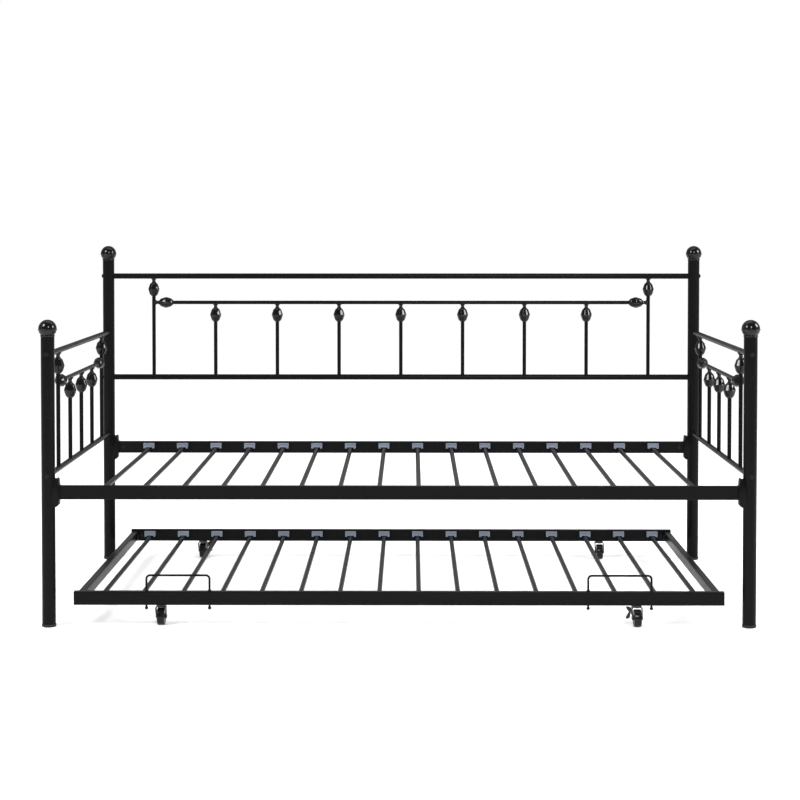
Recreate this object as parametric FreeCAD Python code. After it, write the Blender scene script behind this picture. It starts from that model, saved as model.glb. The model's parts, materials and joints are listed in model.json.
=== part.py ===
"""Trundle bed: a tubular steel daybed with a slatted deck, and a low slatted trundle on casters.

Frame: +X along the bed, to the right as seen from the open front, +Y from the open front to the
back panel, +Z up. The origin is on the floor, in the middle of the four feet.
All sizes are in millimetres.
"""
import FreeCAD, Part
import math
import os

V = FreeCAD.Vector
X_AXIS = V(1, 0, 0)
Y_AXIS = V(0, 1, 0)
Z_AXIS = V(0, 0, 1)

# ---------------------------------------------------------------- driving dimensions
# Posts: round tube, one at each corner.
POST_X = 975.0              # post centre from the middle of the bed, along its length
POST_Y = 500.0              # post centre from the middle of the bed, across it
POST_R = 19.0
POST_WALL = 1.5
FRONT_POST_TOP = 809.0      # end of the front tubes, under the ball's collar
BACK_POST_TOP = 1000.0      # end of the back tubes

# Ball finial, pressed into the top of a post.
BALL_R = 25.5
BALL_LIFT = 22.0            # ball centre above the end of the tube
COLLAR_R = 20.3
COLLAR_H = 4.5
FLASH_R = 27.0              # parting line that stands out round the ball
FLASH_H = 2.2
FLASH_DROP = 2.0            # parting line below the ball's centre
PLUG_GAP = 0.05             # play of a plug in its tube, on the radius or on each side
PLUG_DEPTH = 24.0

# Foot plug, pressed into the bottom of a post.
FOOT_R = 20.0
FOOT_H = 8.0
FOOT_EDGE = 3.0

# Rails and bars of the back panel and the two side panels.
BACK_RAIL_R = 9.0
SIDE_RAIL_R = 8.0
RAIL_WALL = 1.2
BAR_R = 6.0
BAR_WALL = 1.0
BACK_TOP_Z = 947.0
BACK_INNER_Z = 859.0
BACK_BOTTOM_Z = 610.0
BACK_OUTER = 824.0          # outer bars from the middle
BACK_PITCH = 206.0          # spindle spacing
BACK_SPINDLES = 7
SIDE_TOP_Z = 760.0
SIDE_INNER_Z = 671.0
SIDE_BOTTOM_Z = 422.0
SIDE_OUTER = 355.0
SIDE_PITCH = 178.0
SIDE_SPINDLES = 3

# Cast ornament: a flared neck on its rail, then a faceted body with a sharp waist.
FACETS = 10
NECK_R = 5.6
FLARE_R = 9.8
FLARE_LENGTH = 5.5
FLARE_SKIRT = 3.0           # how far the flare reaches down the sides of its rail
# distance from the rail's surface, radius to the facets' corners
ORNAMENT_RINGS = ((9.5, 6.0), (12.4, 7.6), (17.8, 13.4), (28.6, 17.0), (34.8, 19.1),
                  (40.0, 17.6), (47.6, 15.2), (52.4, 13.2), (56.0, 9.8), (58.5, 7.1))
ORNAMENT_LENGTH = 58.5
SOCKET_DEPTH = 24.0         # how far the rod goes into the ornament
SOCKET_GAP = 0.05

# Bolts, and the threaded inserts inside the ends of the panel rails.
BOLT_R = 3.0
BOLT_HEAD_R = 6.0
BOLT_HEAD_H = 3.4
BOLT_SOCKET_R = 2.0
BOLT_HOLE_R = 3.3
SHORT_BOLT_LENGTH = 12.0
INSERT_START = 21.5         # from the post's axis
INSERT_LENGTH = 14.0
THREAD_GAP = 0.04

# Long rails of the deck and of the trundle: rectangular tube.
LONG_RAIL_W = 20.0
LONG_RAIL_H = 38.0
LONG_RAIL_WALL = 1.5
LONG_RAIL_EDGE = 2.0
DECK_TOP = 394.5
DECK_RAIL_END = 942.0

# Brackets that carry the deck rails on the posts.
BRACKET_HALF_WIDTH = 15.0
BRACKET_SHEET = 2.5
TONGUE_LENGTH = 30.0
TONGUE_WALL = 2.0
TONGUE_EDGE = 0.5
RAIL_BOLT_FROM_END = 16.0
BRACKET_WRAP = 12.0          # how far its sides reach round the post
BRACKET_RISE = 18.5          # above the rail, along the post
# corners of the toe and of the lug: distance from the post's face, height from the rail's underside or top
BRACKET_TOE = ((1.0, -21.0), (4.5, -20.5), (8.5, -18.0), (11.0, -15.0), (12.0, -12.0), (12.0, 0.0))
BRACKET_LUG = ((12.0, 0.0), (10.5, 16.0), (9.0, 20.0), (5.5, 21.0), (3.0, 18.5))
# corners of the hollow inside, from the post's face: below the rail's underside, then above its top
POCKET_LOW = ((1.0, -18.0), (6.5, -15.5), (9.0, -11.5), (9.0, 1.0), (11.0, 2.0))
POCKET_HIGH = ((11.0, -2.0), (6.0, 14.0), (1.0, 15.0))
BRACKET_BOSS_WALL = 2.2
BRACKET_BOSS_H = 5.0

# Slats and their plastic holders, the same in the deck and in the trundle.
SLATS = 16
SLAT_PITCH = 112.0
SLAT_R = 7.0
SLAT_WALL = 1.0
SLAT_DROP = 25.2            # slat axis below the top of the rails
SLAT_END = 497.0            # from the middle of the frame
SLAT_HOLE_GAP = 0.3
HOLDER_WIDTH = 36.0
HOLDER_DEPTH = 13.0
HOLDER_TOP_DROP = 4.5       # holder top below the rail's top
HOLDER_HEIGHT = 17.0
HOLDER_NOTCH_H = 3.4
HOLDER_NOTCH_LOW = 26.0
HOLDER_NOTCH_HIGH = 21.0
HOLDER_EDGE = 1.2
HOLDER_PEG_R = 3.0
HOLDER_PEG_LENGTH = 6.0

# Trundle frame.
TRUNDLE_Y = 17.0            # middle of the trundle behind the middle of the daybed
TRUNDLE_TOP = 96.0
TRUNDLE_FRONT_END = 908.0
TRUNDLE_BACK_END = 904.0
TRUNDLE_SIDE_X = 891.5      # centre line of the end rails
TRUNDLE_SIDE_H = 29.0
TRUNDLE_SIDE_DROP = 5.5
END_PLUG_FLANGE = 1.6
END_PLUG_LENGTH = 12.0
CORNER_SHEET = 2.5
CORNER_SHORT = 22.0
CORNER_LONG = 36.0
CORNER_HEIGHT = 20.0
CORNER_BOLT = 12.0          # bolt holes from the corner
CORNER_BOLT_LONG = 24.0

# Wire mattress stops on the trundle's front rail.
STOP_R = 3.0
STOP_INNER = 529.0
STOP_OUTER = 705.5
STOP_TOP = 140.0
STOP_BEND = 10.0
STOP_END = 46.0
STOP_HOLE_R = 3.2
STOP_NUT_R = 4.8
STOP_NUT_Z = 48.5
STOP_COLLAR_R = 5.0
STOP_COLLAR_H = 4.0
STOP_COLLAR_EDGE = 1.2

# Casters.
CASTER_X = 665.0
WHEEL_R = 24.0
WHEEL_HALF = 10.5
WHEEL_WEB_HALF = 9.5
WHEEL_HUB_HALF = 12.6
WHEEL_HUB_R = 6.5
WHEEL_RIM_R = 17.5
WHEEL_EDGE = 2.6
WHEEL_TRAIL = 9.0
AXLE_R = 3.0
AXLE_GAP = 0.05
AXLE_HEAD_R = 4.6
AXLE_HEAD_H = 0.8
FORK_HALF = 15.0
FORK_SHEET = 2.0
FORK_TOP = 54.5
FORK_BEND = 5.0
FORK_BOSS_R = 6.5
FORK_LENGTH = 28.0
FORK_SHOULDER = 6.0         # height of the straight part of a leg's edges under the crown
RACE_OUTER_R = 12.0
RACE_INNER_R = 8.5
RACE_H = 1.2                # bearing cup on top of the fork
TOP_DISC_R = 13.0
TOP_DISC_H = 2.0
KINGPIN_R = 4.0
KINGPIN_HEAD_R = 7.0
KINGPIN_HEAD_H = 2.2
KINGPIN_TOP = 74.0
KINGPIN_HEAD_GAP = 0.3
KINGPIN_HOLE_GAP = 0.2
STEM_NUT_FLATS = 13.0
STEM_NUT_H = 6.0

# Brake lever on two of the casters: a rocker beside the fork's leg.
LEVER_PIVOT_X = -19.0
LEVER_PIVOT_Z = 42.0
LEVER_HUB_R = 3.6
LEVER_PIN_R = 1.5
LEVER_PIN_GAP = 0.05
LEVER_Y = -6.0              # middle of the lever, across its pin
LEVER_HALF = 6.0
LEVER_EAR = 1.8
LEVER_EAR_R = 3.0
LEVER_EAR_GAP = 0.4
NOSE_Y = -8.0               # middle of the nose, across the pin
NOSE_HALF = 3.0
WINDOW_HALF = 3.6           # window in the fork's leg that the nose passes through
WINDOW_DROP_LOW = 12.0
WINDOW_DROP_HIGH = 1.9
# corners from the lever's pin: across, and up
UPPER_PAD = ((2.0, -1.0), (2.4, 9.5), (-4.0, 12.4), (-10.8, 12.6), (-12.2, 11.0), (-10.8, 7.5),
             (-6.0, 1.0), (-3.0, -1.0))
LOWER_PAD = ((-0.5, -1.0), (-0.8, -11.0), (-2.4, -17.0), (-7.4, -19.8), (-12.4, -19.4), (-12.6, -17.4),
             (-6.2, -6.0), (-3.2, -1.0))
NOSE = ((-1.0, -2.0), (2.0, -2.0), (7.3, -7.2), (7.3, -9.6), (5.0, -9.8), (-1.0, -4.0))

# ---------------------------------------------------------------- helpers


def box(low, high):
    """Box between two corners."""
    size = high - low
    return Part.makeBox(size.x, size.y, size.z, low)


def rod(start, end, radius):
    """Solid round rod between two points."""
    run = end - start
    return Part.makeCylinder(radius, run.Length, start, run)


def tube(start, end, radius, wall):
    """Round tube between two points."""
    return rod(start, end, radius).cut(rod(start, end, radius - wall))


def revolved(outline):
    """Turn an outline of (radius, height) corners once about the Z axis."""
    points = [V(radius, 0, height) for radius, height in outline]
    face = Part.Face(Part.makePolygon(points + points[:1]))
    return face.revolve(V(0, 0, 0), Z_AXIS, 360)


def plate(outline, thickness, normal):
    """Flat plate from a list of corner points, thickened along its normal."""
    face = Part.Face(Part.makePolygon(outline + outline[:1]))
    return face.extrude(normal * thickness)


def moved(shape, offset):
    """Copy of a shape, shifted."""
    copy = shape.copy()
    copy.translate(offset)
    return copy


def aimed(shape, place, direction, turn=0.0):
    """Copy of a shape that stands on the origin along +Z, put at a place and aimed along a direction."""
    copy = shape.copy()
    spin = FreeCAD.Rotation(Z_AXIS, turn)
    aim = FreeCAD.Rotation(Z_AXIS, direction)
    copy.Placement = FreeCAD.Placement(place, aim.multiply(spin))
    return copy


def edges_along(shape, axis):
    """Straight edges of a shape that run along an axis."""
    found = []
    for edge in shape.Edges:
        run = edge.lastVertex().Point - edge.firstVertex().Point
        if run.Length > 0 and abs(abs(run.normalize().dot(axis)) - 1) < 1e-6:
            found.append(edge)
    return found


def rectangular_tube(length, width, height, wall, edge):
    """Rectangular tube along X, centred on the origin, with rounded long edges."""
    half = V(length / 2, width / 2, height / 2)
    outer = box(half * -1, half)
    outer = outer.makeFillet(edge, edges_along(outer, X_AXIS))
    bore = V(length / 2 + 1, width / 2 - wall, height / 2 - wall)
    return outer.cut(box(bore * -1, bore))


def save(name, shapes):
    """Write one sub-part; a list becomes a group of separate solids."""
    shape = Part.makeCompound(shapes) if isinstance(shapes, list) else shapes
    shape.exportStep("parts/" + name + ".step")
    print(name, len(shape.Solids), "solids", round(shape.Volume), "mm3")


# ---------------------------------------------------------------- posts, finials and feet

CORNERS = [(side, end) for side in (-1, 1) for end in (-1, 1)]


def post_centre(side, end, z=0.0):
    """Point on a post's axis; side is -1 left or 1 right, end is -1 front or 1 back."""
    return V(side * POST_X, end * POST_Y, z)


def post_top(end):
    """Height of the end of a post's tube."""
    return FRONT_POST_TOP if end < 0 else BACK_POST_TOP


def panel_joints():
    """Each bolted joint of a panel rail: point on the post's axis, way into the rail, rail radius."""
    joints = []
    for side, end in CORNERS:
        for z in (SIDE_TOP_Z, SIDE_BOTTOM_Z):
            joints.append((post_centre(side, end, z), V(0, -end, 0), SIDE_RAIL_R))
        if end > 0:
            for z in (BACK_TOP_Z, BACK_BOTTOM_Z):
                joints.append((post_centre(side, end, z), V(-side, 0, 0), BACK_RAIL_R))
    return joints


def post(side, end):
    """Corner post with a clearance hole at each bolted joint."""
    body = tube(post_centre(side, end, FOOT_H), post_centre(side, end, post_top(end)), POST_R, POST_WALL)
    for centre, way, _ in panel_joints():
        if abs(centre.x - side * POST_X) < 1 and abs(centre.y - end * POST_Y) < 1:
            body = body.cut(rod(centre - way * 2 * POST_R, centre + way * 2 * POST_R, BOLT_HOLE_R))
    return body


def finial():
    """Ball with its parting line, collar and plug; z = 0 is the end of the tube."""
    plug = Part.makeCylinder(POST_R - POST_WALL - PLUG_GAP, PLUG_DEPTH, V(0, 0, -PLUG_DEPTH))
    collar = Part.makeCylinder(COLLAR_R, COLLAR_H)
    collar = collar.makeFillet(COLLAR_H * 0.42, [e for e in collar.Edges if e.Closed])
    ball = Part.makeSphere(BALL_R, V(0, 0, BALL_LIFT))
    flash = Part.makeCylinder(FLASH_R, FLASH_H, V(0, 0, BALL_LIFT - FLASH_DROP - FLASH_H / 2))
    flash = flash.makeFillet(FLASH_H * 0.4, [e for e in flash.Edges if e.Closed])
    above_tube = box(V(-50, -50, 0), V(50, 50, 100))
    return ball.common(above_tube).fuse([collar, flash, plug]).removeSplitter()


def foot():
    """Foot plug; z = 0 is the floor."""
    flange = Part.makeCylinder(FOOT_R, FOOT_H)
    floor_edge = [e for e in flange.Edges if e.Closed and e.CenterOfMass.z < FOOT_H / 2]
    flange = flange.makeFillet(FOOT_EDGE, floor_edge)
    plug = Part.makeCylinder(POST_R - POST_WALL - PLUG_GAP, PLUG_DEPTH, V(0, 0, FOOT_H))
    return flange.fuse(plug)


def build_posts():
    names = {-1: "left", 1: "right"}
    ends = {-1: "front", 1: "back"}
    for side, end in CORNERS:
        save("post_" + ends[end] + "_" + names[side], post(side, end))
    ball = finial()
    plug = foot()
    save("finials", [moved(ball, post_centre(side, end, post_top(end))) for side, end in CORNERS])
    save("foot_plugs", [moved(plug, post_centre(side, end)) for side, end in CORNERS])


# ---------------------------------------------------------------- panels


def faceted_body():
    """Ornament body: flat facets between polygon rings, closed at both ends."""
    rings = []
    for height, radius in ORNAMENT_RINGS:
        corners = [math.radians(360 * (i + 0.5) / FACETS) for i in range(FACETS)]
        rings.append([V(radius * math.cos(a), radius * math.sin(a), height) for a in corners])
    faces = [Part.Face(Part.makePolygon(ring + ring[:1])) for ring in (rings[0], rings[-1])]
    for low, high in zip(rings, rings[1:]):
        for i in range(FACETS):
            j = (i + 1) % FACETS
            faces.append(Part.Face(Part.makePolygon([low[i], low[j], high[j], high[i], low[i]])))
    solid = Part.Solid(Part.Shell(faces))
    if solid.Volume < 0:
        solid.reverse()
    return solid


def ornament(host_radius):
    """Ornament along +Z; its neck sits on a rail of the given radius whose surface is z = 0."""
    start = V(0, 0, -FLARE_SKIRT)
    first = V(FLARE_R, 0, -FLARE_SKIRT)
    rim = V(FLARE_R, 0, 0)
    hollow = V(NECK_R + 1.5, 0, FLARE_LENGTH * 0.3)
    narrow = V(NECK_R, 0, FLARE_LENGTH)
    neck_top = V(NECK_R, 0, ORNAMENT_RINGS[1][0])
    centre = V(0, 0, ORNAMENT_RINGS[1][0])
    outline = [Part.makeLine(start, first), Part.makeLine(first, rim),
               Part.Arc(rim, hollow, narrow).toShape(), Part.makeLine(narrow, neck_top),
               Part.makeLine(neck_top, centre), Part.makeLine(centre, start)]
    neck = Part.Face(Part.Wire(outline)).revolve(V(0, 0, 0), Z_AXIS, 360)
    body = neck.fuse(faceted_body())
    host = rod(V(-40, 0, -host_radius), V(40, 0, -host_radius), host_radius)
    socket = rod(V(0, 0, ORNAMENT_LENGTH - SOCKET_DEPTH), V(0, 0, ORNAMENT_LENGTH + 1), BAR_R + SOCKET_GAP)
    return body.cut(host).cut(socket).removeSplitter()


class Panel:
    """A back or side panel; place(u, z) gives the point u along the panel at height z."""

    def __init__(self, name, place, span, heights, rail_radius, outer, pitch, count):
        self.name = name
        self.place = place
        self.span = span
        self.top, self.inner, self.bottom = heights
        self.rail_radius = rail_radius
        self.outer = outer
        self.spindles = [pitch * (i - (count - 1) / 2) for i in range(count)]
        self.along = (place(1, 0) - place(0, 0)).normalize()

    def rail(self, z):
        """Rail between the posts, its ends cut to sit on them."""
        body = tube(self.place(-self.span, z), self.place(self.span, z), self.rail_radius, RAIL_WALL)
        for end in (-1, 1):
            foot_point = self.place(end * self.span, z)
            body = body.cut(rod(foot_point - Z_AXIS * 40, foot_point + Z_AXIS * 40, POST_R))
        return body

    def upright(self, u, host_z, host_radius):
        """Bar from the bottom rail into the ornament that hangs from its host rail."""
        end_z = host_z - host_radius - ORNAMENT_LENGTH + SOCKET_DEPTH
        body = tube(self.place(u, self.bottom), self.place(u, end_z), BAR_R, BAR_WALL)
        rail = rod(self.place(u - 30, self.bottom), self.place(u + 30, self.bottom), self.rail_radius)
        return body.cut(rail)

    def ornaments(self):
        """One under the top rail at each outer bar, one at each end of the inner rail, one per spindle."""
        under_top = ornament(self.rail_radius)
        on_bar = ornament(BAR_R)
        turn = 90 if abs(self.along.y) > 0.5 else 0
        down = V(0, 0, -1)
        shapes = []
        for end in (-1, 1):
            seat = self.place(end * self.outer, self.top - self.rail_radius)
            shapes.append(aimed(under_top, seat, down, turn))
            seat = self.place(end * (self.outer - BAR_R), self.inner)
            shapes.append(aimed(on_bar, seat, self.along * -end, turn))
        for u in self.spindles:
            shapes.append(aimed(on_bar, self.place(u, self.inner - BAR_R), down, turn))
        return shapes

    def build(self):
        reach = self.outer - BAR_R - ORNAMENT_LENGTH + SOCKET_DEPTH
        save(self.name + "_top_rail", self.rail(self.top))
        save(self.name + "_bottom_rail", self.rail(self.bottom))
        save(self.name + "_inner_rail",
             tube(self.place(-reach, self.inner), self.place(reach, self.inner), BAR_R, BAR_WALL))
        save(self.name + "_outer_bars",
             [self.upright(end * self.outer, self.top, self.rail_radius) for end in (-1, 1)])
        save(self.name + "_spindles", [self.upright(u, self.inner, BAR_R) for u in self.spindles])
        save(self.name + "_ornaments", self.ornaments())


def build_panels():
    Panel("back", lambda u, z: V(u, POST_Y, z), POST_X, (BACK_TOP_Z, BACK_INNER_Z, BACK_BOTTOM_Z),
          BACK_RAIL_R, BACK_OUTER, BACK_PITCH, BACK_SPINDLES).build()
    for name, side in (("left_side", -1), ("right_side", 1)):
        Panel(name, lambda u, z, side=side: V(side * POST_X, u, z), POST_Y,
              (SIDE_TOP_Z, SIDE_INNER_Z, SIDE_BOTTOM_Z), SIDE_RAIL_R, SIDE_OUTER, SIDE_PITCH,
              SIDE_SPINDLES).build()


# ---------------------------------------------------------------- bolts and inserts


def bolt(length):
    """Button-head bolt; z = 0 is under the head and the shank runs along +Z."""
    head = Part.makeCylinder(BOLT_HEAD_R, BOLT_HEAD_H, V(0, 0, -BOLT_HEAD_H))
    outer_edge = [e for e in head.Edges if e.Closed and e.CenterOfMass.z < -BOLT_HEAD_H / 2]
    head = head.makeFillet(BOLT_HEAD_H * 0.6, outer_edge)
    corners = [V(0, 0, 0) for _ in range(6)]
    for i in range(6):
        angle = math.radians(60 * i)
        corners[i] = V(BOLT_SOCKET_R * math.cos(angle), BOLT_SOCKET_R * math.sin(angle), -BOLT_HEAD_H)
    recess = plate(corners, BOLT_HEAD_H * 0.65, Z_AXIS)
    return head.fuse(Part.makeCylinder(BOLT_R, length)).cut(recess)


def build_panel_fasteners():
    long_bolt = bolt(POST_R + INSERT_START + INSERT_LENGTH)
    bolts = []
    inserts = []
    for centre, way, rail_radius in panel_joints():
        bolts.append(aimed(long_bolt, centre - way * POST_R, way))
        start = centre + way * INSERT_START
        end = start + way * INSERT_LENGTH
        body = rod(start, end, rail_radius - RAIL_WALL - PLUG_GAP)
        inserts.append(body.cut(rod(start - way, end + way, BOLT_R + THREAD_GAP)))
    save("panel_bolts", bolts)
    save("panel_rail_inserts", inserts)


# ---------------------------------------------------------------- slatted frames

SLAT_XS = [SLAT_PITCH * (i - (SLATS - 1) / 2) for i in range(SLATS)]
INNER_FACE = POST_Y - LONG_RAIL_W / 2
WALL_REACH = LONG_RAIL_WALL * 2


def long_rail(half_length, y, inner_way, top, y_shift=0.0):
    """Long rail with a row of slat holes and peg holes in its inner wall."""
    body = rectangular_tube(2 * half_length, LONG_RAIL_W, LONG_RAIL_H, LONG_RAIL_WALL, LONG_RAIL_EDGE)
    body.translate(V(0, y + y_shift, top - LONG_RAIL_H / 2))
    wall = y + y_shift + inner_way * LONG_RAIL_W / 2
    holes = ((top - SLAT_DROP, SLAT_R + SLAT_HOLE_GAP), (peg_height(top), HOLDER_PEG_R + PLUG_GAP))
    reach = Y_AXIS * WALL_REACH
    cutters = []
    for x in SLAT_XS:
        for z, radius in holes:
            cutters.append(rod(V(x, wall, z) - reach, V(x, wall, z) + reach, radius))
    return body.cut(Part.makeCompound(cutters))


def peg_height(top):
    """Height of a holder's peg: the middle of the block above its notch."""
    return top - HOLDER_TOP_DROP - (HOLDER_HEIGHT - HOLDER_NOTCH_H) / 2


def slats(top, y_shift=0.0):
    """Row of tubular slats whose ends lie inside the long rails."""
    z = top - SLAT_DROP
    reach = Y_AXIS * SLAT_END
    middles = [V(x, y_shift, z) for x in SLAT_XS]
    return [tube(middle - reach, middle + reach, SLAT_R, SLAT_WALL) for middle in middles]


def slat_holder():
    """Plastic block on a rail's inner face at y = 0, reaching along +Y over the slat; z = 0 is its top."""
    body = box(V(-HOLDER_WIDTH / 2, 0, -HOLDER_HEIGHT), V(HOLDER_WIDTH / 2, HOLDER_DEPTH, 0))
    seen = [e for e in edges_along(body, Z_AXIS) if e.CenterOfMass.y > HOLDER_DEPTH / 2]
    body = body.makeFillet(HOLDER_EDGE, seen)
    low = -HOLDER_HEIGHT - 1
    high = -HOLDER_HEIGHT + HOLDER_NOTCH_H
    half_low = HOLDER_NOTCH_LOW / 2
    half_high = HOLDER_NOTCH_HIGH / 2
    corners = [V(-half_low, -1, low), V(half_low, -1, low), V(half_high, -1, high), V(-half_high, -1, high)]
    notch = plate(corners, HOLDER_DEPTH + 2, Y_AXIS)
    peg_z = peg_height(0) + HOLDER_TOP_DROP
    peg = rod(V(0, 1, peg_z), V(0, -HOLDER_PEG_LENGTH, peg_z), HOLDER_PEG_R)
    return body.cut(notch).fuse(peg)


def slat_holders(top, y_shift=0.0):
    """A holder over both ends of each slat."""
    block = slat_holder()
    shapes = []
    for x in SLAT_XS:
        for end in (-1, 1):
            place = V(x, y_shift + end * INNER_FACE, top - HOLDER_TOP_DROP)
            copy = block.copy()
            copy.Placement = FreeCAD.Placement(place, FreeCAD.Rotation(Z_AXIS, 180 if end > 0 else 0))
            shapes.append(copy)
    return shapes


# ---------------------------------------------------------------- deck


def deck_rail_bolt(side, end):
    """A deck rail's bolt: point under the head on the rail's inner face, way into the rail."""
    x = side * (DECK_RAIL_END - RAIL_BOLT_FROM_END)
    return V(x, end * INNER_FACE, DECK_TOP - LONG_RAIL_H / 2), V(0, end, 0)


def rail_bracket(side, end):
    """Pressed bracket welded to a post, with a hollow tongue inside the deck rail's end."""
    post_face = POST_X - POST_R
    rail_end = post_face - DECK_RAIL_END
    low = DECK_TOP - LONG_RAIL_H
    # outline seen from the front: distance from the post's face, height
    outline = [(-BRACKET_WRAP, low + BRACKET_TOE[0][1])] + [(out, low + up) for out, up in BRACKET_TOE]
    outline += [(rail_end, low), (rail_end, DECK_TOP)]
    outline += [(out, DECK_TOP + up) for out, up in BRACKET_LUG]
    outline += [(1, DECK_TOP + BRACKET_RISE), (-BRACKET_WRAP, DECK_TOP + BRACKET_RISE)]
    y = end * POST_Y
    corners = [V(side * (post_face - out), y - BRACKET_HALF_WIDTH, z) for out, z in outline]
    body = plate(corners, 2 * BRACKET_HALF_WIDTH, Y_AXIS)
    pocket_half = BRACKET_HALF_WIDTH - BRACKET_SHEET
    open_side = -BRACKET_WRAP - 1
    pocket = [(open_side, low + POCKET_LOW[0][1])] + [(out, low + up) for out, up in POCKET_LOW]
    pocket += [(out, DECK_TOP + up) for out, up in POCKET_HIGH] + [(open_side, DECK_TOP + POCKET_HIGH[-1][1])]
    corners = [V(side * (post_face - out), y - pocket_half, z) for out, z in pocket]
    body = body.cut(plate(corners, 2 * pocket_half, Y_AXIS))
    inside = LONG_RAIL_WALL + PLUG_GAP * 2
    tongue = rectangular_tube(TONGUE_LENGTH, LONG_RAIL_W - 2 * inside, LONG_RAIL_H - 2 * inside,
                              TONGUE_WALL, TONGUE_EDGE)
    middle = V(side * (DECK_RAIL_END - TONGUE_LENGTH / 2 + 1), y, DECK_TOP - LONG_RAIL_H / 2)
    tongue.translate(middle)
    place, way = deck_rail_bolt(side, end)
    boss = rod(place + way * inside, place + way * (inside + TONGUE_WALL + BRACKET_BOSS_H),
               BOLT_R + BRACKET_BOSS_WALL)
    thread = rod(place, place + way * (SHORT_BOLT_LENGTH + 1), BOLT_R + THREAD_GAP)
    body = body.fuse([tongue, boss]).cut(thread)
    return body.cut(rod(post_centre(side, end, 300), post_centre(side, end, 450), POST_R))


def build_deck():
    for name, end in (("front", -1), ("back", 1)):
        body = long_rail(DECK_RAIL_END, end * POST_Y, -end, DECK_TOP)
        for side in (-1, 1):
            place, way = deck_rail_bolt(side, end)
            body = body.cut(rod(place - way, place + way * WALL_REACH, BOLT_HOLE_R))
        save("deck_" + name + "_rail", body)
    save("deck_slats", slats(DECK_TOP))
    save("deck_slat_holders", slat_holders(DECK_TOP))
    save("rail_brackets", [rail_bracket(side, end) for side, end in CORNERS])
    short_bolt = bolt(SHORT_BOLT_LENGTH)
    save("rail_bolts", [aimed(short_bolt, *deck_rail_bolt(side, end)) for side, end in CORNERS])


# ---------------------------------------------------------------- trundle frame

TRUNDLE_LOW = TRUNDLE_TOP - LONG_RAIL_H
TRUNDLE_FRONT_Y = TRUNDLE_Y - POST_Y
TRUNDLE_BACK_Y = TRUNDLE_Y + POST_Y
SIDE_RAIL_MIDDLE_Z = TRUNDLE_TOP - TRUNDLE_SIDE_DROP - TRUNDLE_SIDE_H / 2


def corner_bracket(side, end):
    """Folded steel angle inside a corner of the trundle, with a bolt hole in each leg."""
    x = side * (TRUNDLE_SIDE_X - LONG_RAIL_W / 2)
    y = TRUNDLE_Y + end * INNER_FACE
    low = SIDE_RAIL_MIDDLE_Z - CORNER_HEIGHT / 2
    high = SIDE_RAIL_MIDDLE_Z + CORNER_HEIGHT / 2

    def leg(run_x, run_y):
        xs = sorted((x, x - side * run_x))
        ys = sorted((y, y - end * run_y))
        return box(V(xs[0], ys[0], low), V(xs[1], ys[1], high))

    body = leg(CORNER_SHORT, CORNER_SHEET).fuse(leg(CORNER_SHEET, CORNER_LONG)).removeSplitter()
    for place, way in corner_bolts(side, end):
        body = body.cut(rod(place - way * 5, place + way * 5, BOLT_HOLE_R))
    return body


def corner_bolts(side, end):
    """The two bolts of a corner: point under the head on the bracket, way into the rail."""
    x = side * (TRUNDLE_SIDE_X - LONG_RAIL_W / 2)
    y = TRUNDLE_Y + end * INNER_FACE
    z = SIDE_RAIL_MIDDLE_Z
    into_long = (V(x - side * CORNER_BOLT, y - end * CORNER_SHEET, z), V(0, end, 0))
    into_side = (V(x - side * CORNER_SHEET, y - end * CORNER_BOLT_LONG, z), V(side, 0, 0))
    return [into_long, into_side]


def end_plug(side, y, half_length):
    """Plastic plug that closes the end of a long rail."""
    flange = rectangular_tube(END_PLUG_FLANGE, LONG_RAIL_W, LONG_RAIL_H, 0.5, LONG_RAIL_EDGE)
    inside = LONG_RAIL_WALL + PLUG_GAP * 2
    half = V(END_PLUG_FLANGE / 2, LONG_RAIL_W / 2 - 0.5, LONG_RAIL_H / 2 - 0.5)
    flange = flange.fuse(box(half * -1, half))
    flange.translate(V(side * (half_length - END_PLUG_FLANGE / 2), y, TRUNDLE_TOP - LONG_RAIL_H / 2))
    outer = side * (half_length - END_PLUG_FLANGE)
    xs = sorted((outer, outer - side * END_PLUG_LENGTH))
    body = box(V(xs[0], y - LONG_RAIL_W / 2 + inside, TRUNDLE_LOW + inside),
               V(xs[1], y + LONG_RAIL_W / 2 - inside, TRUNDLE_TOP - inside))
    return flange.fuse(body).removeSplitter()


def trundle_long_rail(end):
    """Long rail of the trundle with holes for caster stems, corner bolts and, in front, the stops."""
    half_length = (TRUNDLE_FRONT_END if end < 0 else TRUNDLE_BACK_END) - END_PLUG_FLANGE
    y = TRUNDLE_Y + end * POST_Y
    body = long_rail(half_length, end * POST_Y, -end, TRUNDLE_TOP, TRUNDLE_Y)
    cutters = []
    for side in (-1, 1):
        stem = V(side * CASTER_X, y, TRUNDLE_LOW)
        cutters.append(rod(stem - Z_AXIS, stem + Z_AXIS * WALL_REACH, KINGPIN_R + KINGPIN_HOLE_GAP))
        place, way = corner_bolts(side, end)[0]
        cutters.append(rod(place, place + way * (CORNER_SHEET + WALL_REACH), BOLT_HOLE_R))
        if end < 0:
            for x in (side * STOP_INNER, side * STOP_OUTER):
                cutters.append(rod(V(x, y, TRUNDLE_LOW - 1), V(x, y, TRUNDLE_TOP + 1), STOP_HOLE_R))
    return body.cut(Part.makeCompound(cutters))


def trundle_end_rail(side):
    """End rail between the long rails."""
    body = rectangular_tube(2 * INNER_FACE, LONG_RAIL_W, TRUNDLE_SIDE_H, LONG_RAIL_WALL, LONG_RAIL_EDGE)
    body.rotate(V(0, 0, 0), Z_AXIS, 90)
    body.translate(V(side * TRUNDLE_SIDE_X, TRUNDLE_Y, SIDE_RAIL_MIDDLE_Z))
    for end in (-1, 1):
        place, way = corner_bolts(side, end)[1]
        body = body.cut(rod(place, place + way * (CORNER_SHEET + WALL_REACH), BOLT_HOLE_R))
    return body


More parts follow.
